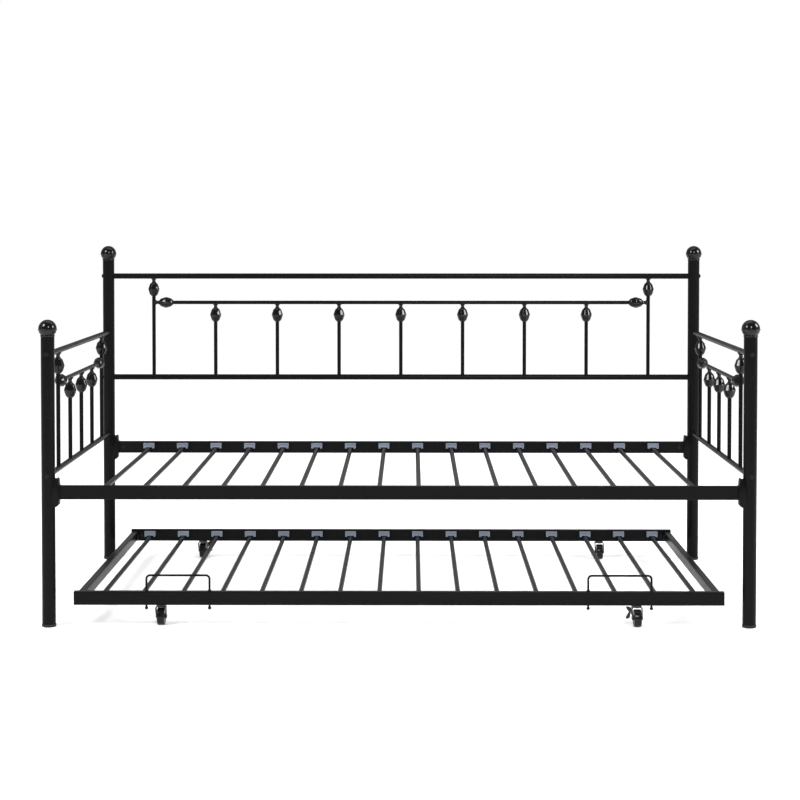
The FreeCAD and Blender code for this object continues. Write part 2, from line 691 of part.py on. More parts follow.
def mattress_stop(side):
    """Round wire bent to a U upside down; its legs go down through the front rail."""
    y = TRUNDLE_FRONT_Y
    low_x = side * STOP_INNER
    high_x = side * STOP_OUTER
    bar_start = V(low_x + side * STOP_BEND, y, STOP_TOP)
    bar_end = V(high_x - side * STOP_BEND, y, STOP_TOP)
    pieces = [rod(bar_start, bar_end, STOP_R)]
    for x, inward in ((low_x, side), (high_x, -side)):
        pieces.append(rod(V(x, y, STOP_END), V(x, y, STOP_TOP - STOP_BEND), STOP_R))
        centre = V(x + inward * STOP_BEND, y, STOP_TOP - STOP_BEND)
        circle = Part.Face(Part.Wire(Part.makeCircle(STOP_R, V(x, y, STOP_TOP - STOP_BEND), Z_AXIS)))
        pieces.append(circle.revolve(centre, V(0, inward, 0), 90))
    return pieces[0].fuse(pieces[1:]).removeSplitter()


def stop_nuts():
    """A collar on top of the rail and a ball nut under it, on each leg of both stops."""
    shapes = []
    y = TRUNDLE_FRONT_Y
    for side in (-1, 1):
        for x in (side * STOP_INNER, side * STOP_OUTER):
            wire = rod(V(x, y, STOP_END), V(x, y, STOP_TOP), STOP_R + THREAD_GAP)
            collar = Part.makeCylinder(STOP_COLLAR_R, STOP_COLLAR_H, V(x, y, TRUNDLE_TOP))
            rim = [e for e in collar.Edges if e.Closed and e.CenterOfMass.z > TRUNDLE_TOP + 1]
            collar = collar.makeFillet(STOP_COLLAR_EDGE, rim)
            ball = Part.makeSphere(STOP_NUT_R, V(x, y, STOP_NUT_Z))
            shapes.extend([collar.cut(wire), ball.cut(wire)])
    return shapes


def build_trundle():
    save("trundle_front_rail", trundle_long_rail(-1))
    save("trundle_back_rail", trundle_long_rail(1))
    save("trundle_left_rail", trundle_end_rail(-1))
    save("trundle_right_rail", trundle_end_rail(1))
    save("trundle_slats", slats(TRUNDLE_TOP, TRUNDLE_Y))
    save("trundle_slat_holders", slat_holders(TRUNDLE_TOP, TRUNDLE_Y))
    save("trundle_corner_brackets", [corner_bracket(side, end) for side, end in CORNERS])
    short_bolt = bolt(SHORT_BOLT_LENGTH)
    bolts = []
    for side, end in CORNERS:
        bolts.extend(aimed(short_bolt, place, way) for place, way in corner_bolts(side, end))
    save("trundle_corner_bolts", bolts)
    plugs = []
    for side in (-1, 1):
        plugs.append(end_plug(side, TRUNDLE_FRONT_Y, TRUNDLE_FRONT_END))
        plugs.append(end_plug(side, TRUNDLE_BACK_Y, TRUNDLE_BACK_END))
    save("trundle_end_plugs", plugs)
    save("mattress_stop_left", mattress_stop(-1))
    save("mattress_stop_right", mattress_stop(1))
    save("mattress_stop_nuts", stop_nuts())


# ---------------------------------------------------------------- casters
# A caster is drawn about its swivel axis, at floor level, with its wheel trailing to the front
# (-Y) and its brake lever, where it has one, on the left (-X).

CASTERS = {"front_left": (-1, -1, 180, False), "front_right": (1, -1, 0, True),
           "back_left": (-1, 1, 180, True), "back_right": (1, 1, 0, False)}
AXLE_CENTRE = V(0, -WHEEL_TRAIL, WHEEL_R)
LEG_IN = FORK_HALF - FORK_SHEET


def caster_stem():
    """Kingpin riveted through the fork, with the fixed disc under the rail; fastened by a nut inside it."""
    crown_low = FORK_TOP - FORK_SHEET
    head_top = crown_low - KINGPIN_HEAD_GAP
    head = rod(V(0, 0, head_top - KINGPIN_HEAD_H), V(0, 0, head_top), KINGPIN_HEAD_R)
    pin = rod(V(0, 0, head_top - 1), V(0, 0, KINGPIN_TOP), KINGPIN_R)
    disc = rod(V(0, 0, TRUNDLE_LOW - TOP_DISC_H), V(0, 0, TRUNDLE_LOW), TOP_DISC_R)
    return head.fuse([pin, disc]).removeSplitter()


def stem_nut():
    """Hexagon nut on the rail's bottom wall."""
    z = TRUNDLE_LOW + LONG_RAIL_WALL
    radius = STEM_NUT_FLATS / 2 / math.cos(math.radians(30))
    angles = [math.radians(60 * i) for i in range(6)]
    body = plate([V(radius * math.cos(a), radius * math.sin(a), z) for a in angles], STEM_NUT_H, Z_AXIS)
    return body.cut(rod(V(0, 0, z - 1), V(0, 0, z + STEM_NUT_H + 1), KINGPIN_R + THREAD_GAP))


def caster_fork(with_lever):
    """Sheet-steel fork: a bent strap over the wheel, trimmed to a slanting leg on each side."""
    half_length = FORK_LENGTH / 2
    back = WHEEL_TRAIL + FORK_BOSS_R + 4
    outer = box(V(-FORK_HALF, -back, 0), V(FORK_HALF, half_length, FORK_TOP))
    bends = [e for e in edges_along(outer, Y_AXIS) if e.CenterOfMass.z > FORK_TOP - 1]
    outer = outer.makeFillet(FORK_BEND, bends)
    inner = box(V(-LEG_IN, -back - 1, -1), V(LEG_IN, half_length + 1, FORK_TOP - FORK_SHEET))
    bends = [e for e in edges_along(inner, Y_AXIS) if e.CenterOfMass.z > FORK_TOP - FORK_SHEET - 1]
    inner = inner.makeFillet(FORK_BEND - FORK_SHEET, bends)
    strap = outer.cut(inner)
    side_view = [V(-20, half_length, FORK_TOP + 1), V(-20, half_length, FORK_TOP - FORK_SHOULDER),
                 V(-20, AXLE_CENTRE.y + FORK_BOSS_R, WHEEL_R), V(-20, AXLE_CENTRE.y - FORK_BOSS_R, WHEEL_R),
                 V(-20, -half_length, FORK_TOP - FORK_SHOULDER), V(-20, -half_length, FORK_TOP + 1)]
    trim = plate(side_view, 40, X_AXIS)
    trim = trim.fuse(rod(V(-20, AXLE_CENTRE.y, WHEEL_R), V(20, AXLE_CENTRE.y, WHEEL_R), FORK_BOSS_R))
    race = rod(V(0, 0, FORK_TOP - 0.5), V(0, 0, FORK_TOP + RACE_H), RACE_OUTER_R)
    race = race.cut(rod(V(0, 0, FORK_TOP - 1), V(0, 0, FORK_TOP + RACE_H + 1), RACE_INNER_R))
    body = strap.common(trim).fuse(race)
    body = body.cut(rod(V(0, 0, 40), V(0, 0, 60), KINGPIN_R + AXLE_GAP))
    body = body.cut(rod(AXLE_CENTRE - X_AXIS * 20, AXLE_CENTRE + X_AXIS * 20, AXLE_R + 0.01))
    if with_lever:
        body = add_lever_ears(body)
    return body.removeSplitter()


def add_lever_ears(fork):
    """Two ears and a riveted pin beside the left leg, and the window for the lever's nose."""
    low_y = LEVER_Y - LEVER_HALF - LEVER_EAR_GAP - LEVER_EAR
    high_y = LEVER_Y + LEVER_HALF + LEVER_EAR_GAP
    ears = []
    for y in (low_y, high_y):
        pivot = V(LEVER_PIVOT_X, y, LEVER_PIVOT_Z)
        inner_corner = V(-FORK_HALF + 0.5, y + LEVER_EAR, LEVER_PIVOT_Z + LEVER_EAR_R)
        ears.append(box(pivot - Z_AXIS * LEVER_EAR_R, inner_corner))
        ears.append(rod(pivot, pivot + Y_AXIS * LEVER_EAR, LEVER_EAR_R))
    pin_start = V(LEVER_PIVOT_X, low_y, LEVER_PIVOT_Z)
    pin_end = V(LEVER_PIVOT_X, high_y + LEVER_EAR, LEVER_PIVOT_Z)
    pin = rod(pin_start, pin_end, LEVER_PIN_R)
    window = box(V(-FORK_HALF - 1, NOSE_Y - WINDOW_HALF, LEVER_PIVOT_Z - WINDOW_DROP_LOW),
                 V(-LEG_IN + 1, NOSE_Y + WINDOW_HALF, LEVER_PIVOT_Z - WINDOW_DROP_HIGH))
    return fork.cut(window).fuse(ears + [pin])


def brake_lever():
    """Rocker with an upper and a lower toe pad and a nose that reaches the wheel's side."""
    x = LEVER_PIVOT_X
    z = LEVER_PIVOT_Z
    low_y = LEVER_Y - LEVER_HALF
    high_y = LEVER_Y + LEVER_HALF
    hub = rod(V(x, low_y, z), V(x, high_y, z), LEVER_HUB_R)
    pads = []
    for pad in (UPPER_PAD, LOWER_PAD):
        pads.append(plate([V(x + px, low_y, z + pz) for px, pz in pad], 2 * LEVER_HALF, Y_AXIS))
    nose = plate([V(x + px, NOSE_Y - NOSE_HALF, z + pz) for px, pz in NOSE], 2 * NOSE_HALF, Y_AXIS)
    body = hub.fuse(pads + [nose])
    body = body.cut(rod(V(x, low_y - 1, z), V(x, high_y + 1, z), LEVER_PIN_R + LEVER_PIN_GAP))
    return body.removeSplitter()


def caster_wheel():
    """Moulded wheel with a hub, a thinner web and a rounded tread."""
    bore_r = AXLE_R + AXLE_GAP
    near_side = [(bore_r, -WHEEL_HUB_HALF), (WHEEL_HUB_R, -WHEEL_HUB_HALF), (WHEEL_HUB_R, -WHEEL_WEB_HALF),
                 (WHEEL_RIM_R, -WHEEL_WEB_HALF), (WHEEL_RIM_R, -WHEEL_HALF), (WHEEL_R, -WHEEL_HALF)]
    far_side = [(radius, -height) for radius, height in reversed(near_side)]
    body = revolved(near_side + far_side)
    tread = []
    for edge in body.Edges:
        on_tread = abs(edge.BoundBox.XMax - WHEEL_R) < 0.01 and abs(edge.BoundBox.ZLength) < 0.01
        if on_tread and abs(abs(edge.BoundBox.ZMax) - WHEEL_HALF) < 0.01:
            tread.append(edge)
    body = body.makeFillet(WHEEL_EDGE, tread)
    return aimed(body, AXLE_CENTRE, X_AXIS)


def caster_axle():
    """Rivet through the fork's legs and the wheel."""
    reach = FORK_HALF + AXLE_HEAD_H
    body = rod(AXLE_CENTRE - X_AXIS * reach, AXLE_CENTRE + X_AXIS * reach, AXLE_R)
    for way in (-1, 1):
        start = AXLE_CENTRE + X_AXIS * way * FORK_HALF
        body = body.fuse(rod(start, start + X_AXIS * way * AXLE_HEAD_H, AXLE_HEAD_R))
    return body.removeSplitter()


def place_caster(shape, side, end, turn):
    """Put a caster piece under its rail, swivelled by turn degrees."""
    copy = shape.copy()
    place = V(side * CASTER_X, TRUNDLE_Y + end * POST_Y, 0)
    copy.Placement = FreeCAD.Placement(place, FreeCAD.Rotation(Z_AXIS, turn)).multiply(shape.Placement)
    return copy


def build_casters():
    stem = caster_stem()
    nut = stem_nut()
    wheel = caster_wheel()
    axle = caster_axle()
    forks = {True: caster_fork(True), False: caster_fork(False)}
    stems = []
    nuts = []
    for corner, (side, end, turn, braked) in CASTERS.items():
        stems.append(place_caster(stem, side, end, turn))
        nuts.append(place_caster(nut, side, end, turn))
        save("caster_" + corner + "_fork", place_caster(forks[braked], side, end, turn))
        save("caster_" + corner + "_wheel", place_caster(wheel, side, end, turn))
        save("caster_" + corner + "_axle", place_caster(axle, side, end, turn))
        if braked:
            save("brake_lever_" + corner, place_caster(brake_lever(), side, end, turn))
    save("caster_stems", stems)
    save("caster_stem_nuts", nuts)


os.makedirs("parts", exist_ok=True)
build_posts()
build_panels()
build_panel_fasteners()
build_deck()
build_trundle()
build_casters()
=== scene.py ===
# %% [markdown]
# # A tubular steel daybed with a roll-out trundle
# The bed is a powder-coated steel frame. Four posts carry a back panel, two side panels and a
# slatted deck, and a low slatted trundle rolls out from under it on casters. The steel tubes come
# from the fixed frame as they are. This lesson gives every tube its finish, and models again the
# pieces whose edges catch the light: cast ornaments, ball tops, clips, brackets and casters.

# %% Load the frame
import json
import math
import bpy
import bmesh
from mathutils import Matrix, Vector

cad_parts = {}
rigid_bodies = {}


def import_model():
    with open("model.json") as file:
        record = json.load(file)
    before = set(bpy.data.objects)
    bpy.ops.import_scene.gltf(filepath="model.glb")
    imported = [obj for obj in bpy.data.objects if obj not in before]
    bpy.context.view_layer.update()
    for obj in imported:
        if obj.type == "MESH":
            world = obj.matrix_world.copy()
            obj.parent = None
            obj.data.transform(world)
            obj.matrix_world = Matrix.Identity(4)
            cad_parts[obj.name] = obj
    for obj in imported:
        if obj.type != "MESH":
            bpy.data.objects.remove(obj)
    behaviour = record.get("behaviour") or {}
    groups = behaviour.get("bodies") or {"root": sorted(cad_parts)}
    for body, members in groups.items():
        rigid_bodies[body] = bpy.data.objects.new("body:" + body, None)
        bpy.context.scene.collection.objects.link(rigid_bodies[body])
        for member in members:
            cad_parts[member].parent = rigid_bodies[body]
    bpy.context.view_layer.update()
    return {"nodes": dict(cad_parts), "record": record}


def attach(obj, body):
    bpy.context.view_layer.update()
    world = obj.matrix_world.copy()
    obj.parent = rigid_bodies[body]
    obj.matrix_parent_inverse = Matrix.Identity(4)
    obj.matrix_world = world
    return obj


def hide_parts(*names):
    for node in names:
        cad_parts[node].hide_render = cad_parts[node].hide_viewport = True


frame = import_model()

MM = 0.001
NODES = frame["nodes"]
BODIES = frame["record"]["behaviour"]["bodies"]
BODY_OF = {node: body for body, group in BODIES.items() for node in group}
SLOT_OF = {part["node"]: part["material_slot"] for part in frame["record"]["subparts"]}

# %% [markdown]
# ## Small tools for building a piece
# An operator works on everything that is selected, and loading the frame leaves its nodes
# selected. Each piece therefore starts from an empty selection. A finished piece keeps its object
# at the origin and its place in its mesh, so that a pattern on Object coordinates stays put.

# %% Select, settle, join, copy and round a piece


def only(*objects):
    """Select just these objects; the first becomes active."""
    for other in bpy.context.view_layer.objects:
        other.select_set(False)
    for one in objects:
        one.select_set(True)
    bpy.context.view_layer.objects.active = objects[0] if objects else None


def apply_modifiers(piece):
    """Apply each modifier in turn."""
    only(piece)
    for modifier in list(piece.modifiers):
        bpy.ops.object.modifier_apply(modifier=modifier.name)


def settle(piece):
    """Move a piece's place, turn and size into its mesh."""
    only(piece)
    bpy.ops.object.transform_apply(location=True, rotation=True, scale=True)


def join(pieces, name):
    """Join several meshes into one named piece."""
    only(*pieces)
    bpy.ops.object.join()
    piece = bpy.context.active_object
    piece.name = name
    piece.data.name = name
    settle(piece)
    return piece


def copies(template, placings, name):
    """One piece made of a copy of the template at each placing."""
    made = []
    for placing in placings:
        one = template.copy()
        one.data = template.data.copy()
        one.data.transform(placing)
        bpy.context.scene.collection.objects.link(one)
        made.append(one)
    return join(made, name)


def outward(piece):
    """Point every face of a closed mesh outwards."""
    only(piece)
    bpy.ops.object.mode_set(mode="EDIT")
    bpy.ops.mesh.select_all(action="SELECT")
    bpy.ops.mesh.normals_make_consistent(inside=False)
    bpy.ops.object.mode_set(mode="OBJECT")


def bevel_edges(piece, width, angle, clamp=True):
    """Round every edge sharper than an angle, in two steps."""
    modifier = piece.modifiers.new("edge", "BEVEL")
    modifier.width = width
    modifier.segments = 2
    modifier.limit_method = "ANGLE"
    modifier.angle_limit = math.radians(angle)
    modifier.use_clamp_overlap = clamp
    apply_modifiers(piece)


def smooth(piece, angle):
    """Shade smooth, with edges kept crisp above an angle."""
    only(piece)
    bpy.ops.object.shade_smooth_by_angle(angle=math.radians(angle))


print("piece tools ready")

# %% [markdown]
# ## Where the frame's solids are
# A frame node can hold many separate solids, such as all the ornaments of one panel. Each solid's
# own box tells where its new piece goes, so that no place is written down twice.

# %% Find the separate solids of a node
SAME_POINT = 1e-6           # vertices nearer than this, in metres, are one


def box_order(box):
    """Key that sorts boxes by place, to a tenth of a millimetre."""
    low, high = box
    return tuple(round(value, 4) for value in low + high)


def solid_boxes(node):
    """Lowest and highest corner of each separate solid of a frame node."""
    shape = bmesh.new()
    shape.from_mesh(NODES[node].data)
    bmesh.ops.remove_doubles(shape, verts=shape.verts, dist=SAME_POINT)
    waiting = set(shape.verts)
    boxes = []
    while waiting:
        front = [waiting.pop()]
        low = Vector(front[0].co)
        high = Vector(front[0].co)
        while front:
            vertex = front.pop()
            low = Vector(map(min, low, vertex.co))
            high = Vector(map(max, high, vertex.co))
            for edge in vertex.link_edges:
                near = edge.other_vert(vertex)
                if near in waiting:
                    waiting.remove(near)
                    front.append(near)
        boxes.append((low, high))
    shape.free()
    return sorted(boxes, key=box_order)


print(len(solid_boxes("back_ornaments")), "ornaments on the back panel")

# %% [markdown]
# ## Shared surface effects
# Powder coat, moulded plastic and plating all carry a fine relief that breaks up the light, and
# all of them pick up dust and handling marks. Each effect is a node group with named inputs, made
# once and placed in each material with its own values. The groups put out only masks and heights.
# The shader itself stays in the material.

# %% Start a node group


def new_group(name, inputs, outputs):
    """Empty shader group with named float inputs and outputs."""
    group = bpy.data.node_groups.new(name, "ShaderNodeTree")
    for label, value in inputs:
        socket = group.interface.new_socket(label, in_out="INPUT", socket_type="NodeSocketFloat")
        socket.default_value = value
    for label in outputs:
        group.interface.new_socket(label, in_out="OUTPUT", socket_type="NodeSocketFloat")
    return group, group.nodes.new("NodeGroupInput"), group.nodes.new("NodeGroupOutput")


def math_node(tree, operation, first, second):
    """Math node; each operand is a socket or a number."""
    node = tree.nodes.new("ShaderNodeMath")
    node.operation = operation
    for slot, value in zip(node.inputs, (first, second)):
        if isinstance(value, (int, float)):
            slot.default_value = value
        else:
            tree.links.new(value, slot)
    return node.outputs[0]


def noise_node(tree, place, scale, detail, roughness=0.5):
    """Noise on Object coordinates; scale is a socket or a number."""
    node = tree.nodes.new("ShaderNodeTexNoise")
    tree.links.new(place, node.inputs["Vector"])
    if isinstance(scale, (int, float)):
        node.inputs["Scale"].default_value = scale
    else:
        tree.links.new(scale, node.inputs["Scale"])
    node.inputs["Detail"].default_value = detail
    node.inputs["Roughness"].default_value = roughness
    return node.outputs["Fac"]


def ramp(tree, value, low, high):
    """Stretch low..high of a value to 0..1, with soft ends."""
    node = tree.nodes.new("ShaderNodeMapRange")
    node.interpolation_type = "SMOOTHSTEP"
    node.inputs["From Min"].default_value = low
    node.inputs["From Max"].default_value = high
    tree.links.new(value, node.inputs["Value"])
    return node.outputs["Result"]


print("node tools ready")

# %% Orange peel: the relief of a sprayed and baked coat
GRIT_FINER = 3.7            # how many times finer the grit is than the bumps
PATCHES_PER_METRE = 7.0


def make_orange_peel():
    """Rounded bumps about a millimetre across, with finer grit between them."""
    inputs = [("Bumps per metre", 900), ("Grit", 0.3)]
    group, given, out = new_group("orange peel", inputs, ["Height", "Patch"])
    place = group.nodes.new("ShaderNodeTexCoord").outputs["Object"]
    coarse_scale = given.outputs["Bumps per metre"]
    fine_scale = math_node(group, "MULTIPLY", coarse_scale, GRIT_FINER)
    peel = noise_node(group, place, coarse_scale, detail=1.0)
    specks = noise_node(group, place, fine_scale, detail=2.0)
    grit = math_node(group, "MULTIPLY", specks, given.outputs["Grit"])
    group.links.new(math_node(group, "ADD", peel, grit), out.inputs["Height"])
    patch = noise_node(group, place, PATCHES_PER_METRE, detail=3.0)
    group.links.new(patch, out.inputs["Patch"])
    return group


ORANGE_PEEL = make_orange_peel()
print("made", ORANGE_PEEL.name)

# %% Handling marks: faint rubs, and dust that settles on faces that look up
STREAKS_PER_METRE = 140.0
STREAK_STRETCH = (1.0, 1.0, 0.22)
STREAK_TURN = (0.4, 0.3, 0.2)
AREAS_PER_METRE = 9.0
SPECKS_PER_METRE = 420.0


def make_handling():
    """Rub marks in thin streaks, and dust on upward faces."""
    inputs = [("Rubs", 0.5), ("Dust", 0.3)]
    group, given, out = new_group("handling", inputs, ["Rub mask", "Dust mask"])
    place = group.nodes.new("ShaderNodeTexCoord").outputs["Object"]
    stretch = group.nodes.new("ShaderNodeMapping")
    stretch.inputs["Scale"].default_value = STREAK_STRETCH
    stretch.inputs["Rotation"].default_value = STREAK_TURN
    group.links.new(place, stretch.inputs["Vector"])
    stretched = stretch.outputs["Vector"]
    streak_noise = noise_node(group, stretched, STREAKS_PER_METRE, detail=4.0, roughness=0.65)
    streaks = ramp(group, streak_noise, low=0.6, high=0.74)
    areas = ramp(group, noise_node(group, place, AREAS_PER_METRE, detail=2.0), low=0.5, high=0.66)
    rub = math_node(group, "MULTIPLY", streaks, areas)
    group.links.new(math_node(group, "MULTIPLY", rub, given.outputs["Rubs"]), out.inputs["Rub mask"])
    split = group.nodes.new("ShaderNodeSeparateXYZ")
    group.links.new(group.nodes.new("ShaderNodeNewGeometry").outputs["Normal"], split.inputs[0])
    upward = ramp(group, split.outputs["Z"], low=0.35, high=1.0)
    speck_noise = noise_node(group, place, SPECKS_PER_METRE, detail=3.0, roughness=0.7)
    specks = ramp(group, speck_noise, low=0.42, high=0.7)
    dust = math_node(group, "MULTIPLY", upward, specks)
    group.links.new(math_node(group, "MULTIPLY", dust, given.outputs["Dust"]), out.inputs["Dust mask"])
    return group


HANDLING = make_handling()
print("made", HANDLING.name)

# %% [markdown]
# ## The finishes
# Every finish follows one recipe: a base colour that shifts a little from patch to patch, a
# roughness that the relief and the rubs change, and a bump from the relief. What differs between
# powder coat, moulded plastic and plated steel is the numbers, so one function makes them all.

# %% One recipe for every coated, moulded or plated surface
MIX_FIRST, MIX_SECOND, MIX_RESULT = 6, 7, 2     # the colour sockets of a Mix node
DUST_COLOUR = (0.32, 0.31, 0.3)
DUST_DULLS = 0.5            # roughness that full dust adds
RUB_DULLS = 0.12            # roughness that a full rub adds


def group_node(tree, group, **values):
    """Place a node group and set its inputs."""
    node = tree.nodes.new("ShaderNodeGroup")
    node.node_tree = group
    for label, value in values.items():
        node.inputs[label.replace("_", " ")].default_value = value
    return node


def mix_colour(tree, amount, first, second):
    """Blend two colours; each is a socket or an (r, g, b)."""
    node = tree.nodes.new("ShaderNodeMix")
    node.data_type = "RGBA"
    tree.links.new(amount, node.inputs["Factor"])
    for index, value in ((MIX_FIRST, first), (MIX_SECOND, second)):
        if isinstance(value, tuple):
            node.inputs[index].default_value = (*value, 1.0)
        else:
            tree.links.new(value, node.inputs[index])
    return node.outputs[MIX_RESULT]


def make_finish(name, dark, light, rub_colour, roughness, bumps, depth,
                grit=0.3, rubs=0.4, dust=0.25, metallic=0.0, specular=0.5):
    """Finish whose colour runs from dark to light, and whose roughness runs from low to high."""
    material = bpy.data.materials.new(name)
    material.use_nodes = True
    tree = material.node_tree
    shader = tree.nodes["Principled BSDF"]
    relief = group_node(tree, ORANGE_PEEL, Bumps_per_metre=bumps, Grit=grit)
    marks = group_node(tree, HANDLING, Rubs=rubs, Dust=dust)
    patch, rubbed, dusty = relief.outputs["Patch"], marks.outputs["Rub mask"], marks.outputs["Dust mask"]
    colour = mix_colour(tree, patch, dark, light)
    colour = mix_colour(tree, rubbed, colour, rub_colour)
    colour = mix_colour(tree, dusty, colour, DUST_COLOUR)
    tree.links.new(colour, shader.inputs["Base Color"])
    rough = math_node(tree, "MULTIPLY", patch, roughness[1] - roughness[0])
    rough = math_node(tree, "ADD", rough, roughness[0])
    rough = math_node(tree, "ADD", rough, math_node(tree, "MULTIPLY", dusty, DUST_DULLS))
    rough = math_node(tree, "ADD", rough, math_node(tree, "MULTIPLY", rubbed, RUB_DULLS))
    tree.links.new(rough, shader.inputs["Roughness"])
    bump = tree.nodes.new("ShaderNodeBump")
    bump.inputs["Strength"].default_value = 1.0
    bump.inputs["Distance"].default_value = depth
    tree.links.new(relief.outputs["Height"], bump.inputs["Height"])
    tree.links.new(bump.outputs["Normal"], shader.inputs["Normal"])
    shader.inputs["Metallic"].default_value = metallic
    shader.inputs["Specular IOR Level"].default_value = specular
    return material


print("finish recipe ready")

# %% [markdown]
# Black steel, black casting and black nylon differ in their highlights far more than in colour. The
# coat spreads a highlight wide and faint, the casting keeps it small and bright, and the nylon lies
# between them. Grey clips and zinc show their own colour.

# %% The seven finishes
FINISHES = {
    "black_powder_coat": make_finish(
        "satin black powder coat", (0.0026, 0.0026, 0.003), (0.0044, 0.0044, 0.005),
        rub_colour=(0.02, 0.02, 0.021), roughness=(0.24, 0.33), bumps=700, depth=0.00005,
        dust=0.015, specular=0.085),
    "gloss_black_plastic": make_finish(
        "gloss black casting", (0.003, 0.003, 0.004), (0.006, 0.006, 0.007),
        rub_colour=(0.02, 0.02, 0.02), roughness=(0.05, 0.1), bumps=260, depth=0.00003,
        grit=0.1, dust=0.015, specular=0.32),
    "black_plastic": make_finish(
        "matt black moulding", (0.009, 0.009, 0.009), (0.015, 0.015, 0.015),
        rub_colour=(0.05, 0.05, 0.05), roughness=(0.42, 0.56), bumps=1800, depth=0.00005,
        grit=0.6, dust=0.06, specular=0.3),
    "wheel_plastic": make_finish(
        "hard black nylon", (0.003, 0.003, 0.0035), (0.006, 0.006, 0.006),
        rub_colour=(0.04, 0.04, 0.04), roughness=(0.14, 0.22), bumps=1100, depth=0.00003,
        rubs=0.7, dust=0.03, specular=0.25),
    "grey_plastic": make_finish(
        "blue-grey moulding", (0.115, 0.135, 0.18), (0.155, 0.18, 0.23),
        rub_colour=(0.28, 0.31, 0.36), roughness=(0.38, 0.5), bumps=1500, depth=0.00004,
        grit=0.6),
    "zinc_steel": make_finish(
        "zinc-plated steel", (0.06, 0.06, 0.063), (0.12, 0.12, 0.12),
        rub_colour=(0.4, 0.4, 0.4), roughness=(0.2, 0.34), bumps=500, depth=0.00003,
        metallic=1.0, dust=0.05),
    "black_fastener": make_finish(
        "black finished steel", (0.006, 0.006, 0.0065), (0.012, 0.012, 0.0125),
        rub_colour=(0.09, 0.09, 0.09), roughness=(0.26, 0.4), bumps=900, depth=0.00003,
        rubs=0.8, dust=0.03, specular=0.12),
}
print(len(FINISHES), "finishes:", ", ".join(material.name for material in FINISHES.values()))

# %% Put the finish of its slot on each frame node


def put_finish(piece, slot):
    """Give a piece the finish of a material slot, in place of any other."""
    piece.data.materials.clear()
    piece.data.materials.append(FINISHES[slot])


def hand_over(piece, node):
    """Let a piece stand for a frame node: same finish, same body, same material slot."""
    put_finish(piece, SLOT_OF[node])
    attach(piece, BODY_OF[node])
    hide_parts(node)


for name, node in NODES.items():
    put_finish(node, SLOT_OF[name])
print("finished", len(NODES), "frame nodes")

# %% [markdown]
# ## Cast ornaments
# Each bar ends in a cast ornament: a short neck that flares onto its rail, then a ten-sided body
# that swells to a sharp waist and draws in again where the bar enters. A lathe shape would lose the
# flat facets, and facets with knife edges would lose the bright lines that a casting shows. So a
# ten-sided ring is extruded and scaled up the body in steps, and its edges are then rounded.

# %% Lift a ring into a tall shape


def lift_rings(rings, sides, name):
    """Closed shape through rings of (height, radius): a circle extruded and scaled ring by ring."""
    first_height, first_radius = rings[0]
    only()
    bpy.ops.mesh.primitive_circle_add(vertices=sides, radius=first_radius, fill_type="NGON",
                                      location=(0, 0, first_height), rotation=(0, 0, math.pi / sides))
    piece = bpy.context.active_object
    piece.name = name
    settle(piece)
    bpy.ops.object.mode_set(mode="EDIT")
    bpy.ops.mesh.select_all(action="SELECT")
    for (low, before), (high, after) in zip(rings, rings[1:]):
        bpy.ops.mesh.extrude_region_move(TRANSFORM_OT_translate={"value": (0, 0, high - low)})
        share = after / before
        bpy.ops.transform.resize(value=(share, share, 1), center_override=(0, 0, high))
    bpy.ops.object.mode_set(mode="OBJECT")
    outward(piece)
    return piece


def in_metres(rings):
    """The same rings in metres."""
    return [(height * MM, radius * MM) for height, radius in rings]


print("ring tools ready")

# %% Model one ornament
ORNAMENT_BODY = [
    (8.6, 4.6), (9.5, 6.0), (12.4, 7.6), (17.8, 13.4), (28.6, 17.0), (34.0, 18.6), (34.8, 19.1),
    (35.6, 18.6), (40.0, 17.6), (47.6, 15.2), (52.4, 13.2), (56.0, 9.8), (58.5, 7.1)]
ORNAMENT_NECK = [
    (-3.0, 9.8), (-0.2, 9.8), (0.6, 9.2), (1.6, 7.6), (3.2, 6.4), (5.5, 5.6), (12.0, 5.6)]
FACETS = 10
NECK_SIDES = 24
FACET_EDGE = 0.45 * MM


def make_ornament():
    """One ornament that stands on the origin along +Z, with its rail's surface at z = 0."""
    body = lift_rings(in_metres(ORNAMENT_BODY), FACETS, "ornament_body")
    bevel_edges(body, FACET_EDGE, angle=9)
    smooth(body, angle=12)
    neck = lift_rings(in_metres(ORNAMENT_NECK), NECK_SIDES, "ornament_neck")
    smooth(neck, angle=40)
    return join([body, neck], "ornament")


ornament = make_ornament()
print("ornament with", len(ornament.data.polygons), "faces")

# %% Put an ornament at each cast solid
FLARE_SKIRT = 3.0 * MM      # how far the flare reaches into its rail
LENGTHWISE = Vector((1, 0, 0))
CROSSWISE = Vector((0, 1, 0))


def ornament_placings(node, along):
    """Where each ornament goes: the solid's longest side is its axis, and its thin neck starts it."""
    placings = []
    for low, high in solid_boxes(node):
        size = high - low
        middle = (low + high) / 2
        if size.z > max(size.x, size.y):
            start = Vector((middle.x, middle.y, high.z - FLARE_SKIRT))
            way = Vector((0, 0, -1))
        else:
            way = along * (-1 if middle.dot(along) > 0 else 1)
            outer_end = middle - way * abs(size.dot(along)) / 2
            start = outer_end + way * FLARE_SKIRT
        placings.append(Matrix.Translation(start) @ way.to_track_quat("Z", "Y").to_matrix().to_4x4())
    return placings


for panel, along in (("back", LENGTHWISE), ("left_side", CROSSWISE), ("right_side", CROSSWISE)):
    node = panel + "_ornaments"
    piece = copies(ornament, ornament_placings(node, along), panel + "_cast_ornaments")
    hand_over(piece, node)
    print(piece.name, len(piece.data.polygons), "faces")
bpy.data.objects.remove(ornament)

# %% [markdown]
# ## Ball tops
# A hollow plastic ball closes each post. It is moulded in two halves, which leaves a thin flange
# just under its widest line, and it stands on a rounded collar. A fine sphere keeps its outline
# round, and the flange and the collar are rings of their own, joined to it.

